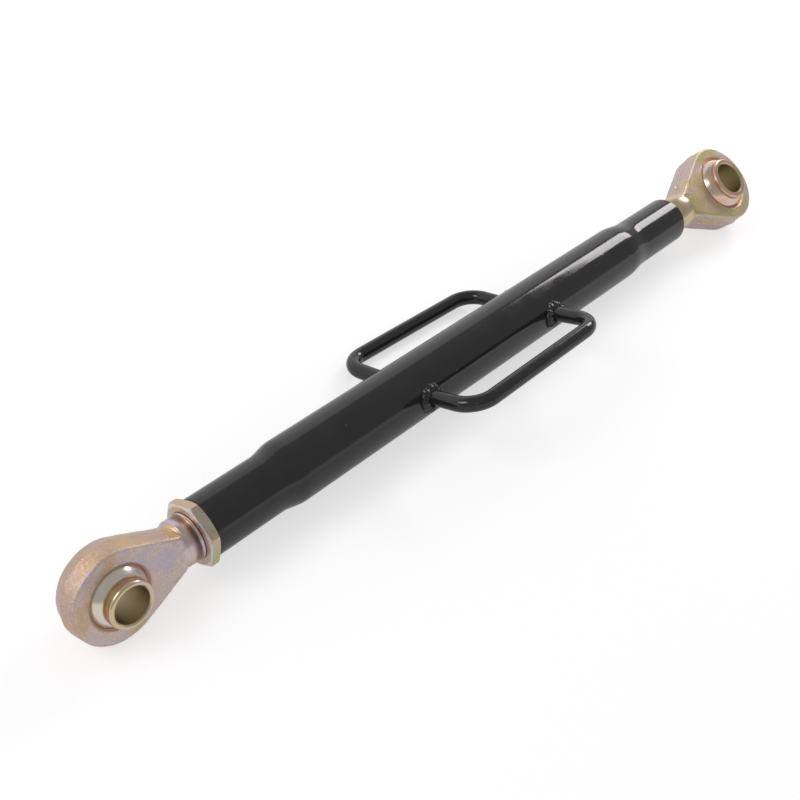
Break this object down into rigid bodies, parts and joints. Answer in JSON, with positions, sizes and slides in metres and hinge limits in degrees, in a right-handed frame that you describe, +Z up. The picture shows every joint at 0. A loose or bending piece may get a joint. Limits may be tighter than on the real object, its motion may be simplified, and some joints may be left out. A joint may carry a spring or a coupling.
{
  "type": "tractor top link",
  "caption": "Adjustable upper hitch link: swaged threaded barrel with hand bars, a screwed ball-eye end each side and a lock nut.",
  "frame": {"origin": "centre of the near ball's pin hole, on the barrel's axis", "axes": "+X along the barrel from the near eye to the far eye, +Z up as the link lies on a floor"},
  "size_m": [0.8345, 0.1423, 0.0684],
  "materials": {
    "barrel_paint": "gloss black paint",
    "handle_paint": "gloss black paint on bent bar",
    "weld_paint": "gloss black paint over weld bead",
    "nut_plating": "yellow zinc plating",
    "eye_plating": "yellow zinc plating on forged steel",
    "ball_plating": "yellow zinc plating on turned steel"
  },
  "bodies": {
    "barrel": {"barrel_tube": "barrel_paint", "front_handle": "handle_paint", "rear_handle": "handle_paint", "front_handle_near_weld": "weld_paint", "front_handle_far_weld": "weld_paint", "rear_handle_near_weld": "weld_paint", "rear_handle_far_weld": "weld_paint"},
    "lock_nut": {"lock_nut": "nut_plating"},
    "near_end": {"near_eye_end": "eye_plating"},
    "far_end": {"far_eye_end": "eye_plating"},
    "near_ball": {"near_ball": "ball_plating"},
    "far_ball": {"far_ball": "ball_plating"}
  },
  "joints": [
    {"name": "near_extend", "type": "slide", "parent": "barrel", "child": "near_end", "axis": [-1, 0, 0], "range_m": [0, 0.11]},
    {"name": "far_extend", "type": "slide", "parent": "barrel", "child": "far_end", "axis": [1, 0, 0], "range_m": [0, 0.11]},
    {"name": "nut_turn", "type": "hinge", "parent": "barrel", "child": "lock_nut", "pos_m": [0.06775, 0, 0], "axis": [1, 0, 0], "continuous": true},
    {"name": "near_ball_tilt", "type": "hinge", "parent": "near_end", "child": "near_ball", "pos_m": [0, 0, 0], "axis": [0, 0.309, 0.9511], "range_deg": [-12, 12]},
    {"name": "far_ball_tilt", "type": "hinge", "parent": "far_end", "child": "far_ball", "pos_m": [0.7598, 0, 0], "axis": [0, 0.8607, 0.509], "range_deg": [-12, 12]}
  ],
  "couplings": [
    {"joint": "far_extend", "follows": "near_extend", "ratio": 1}
  ]
}
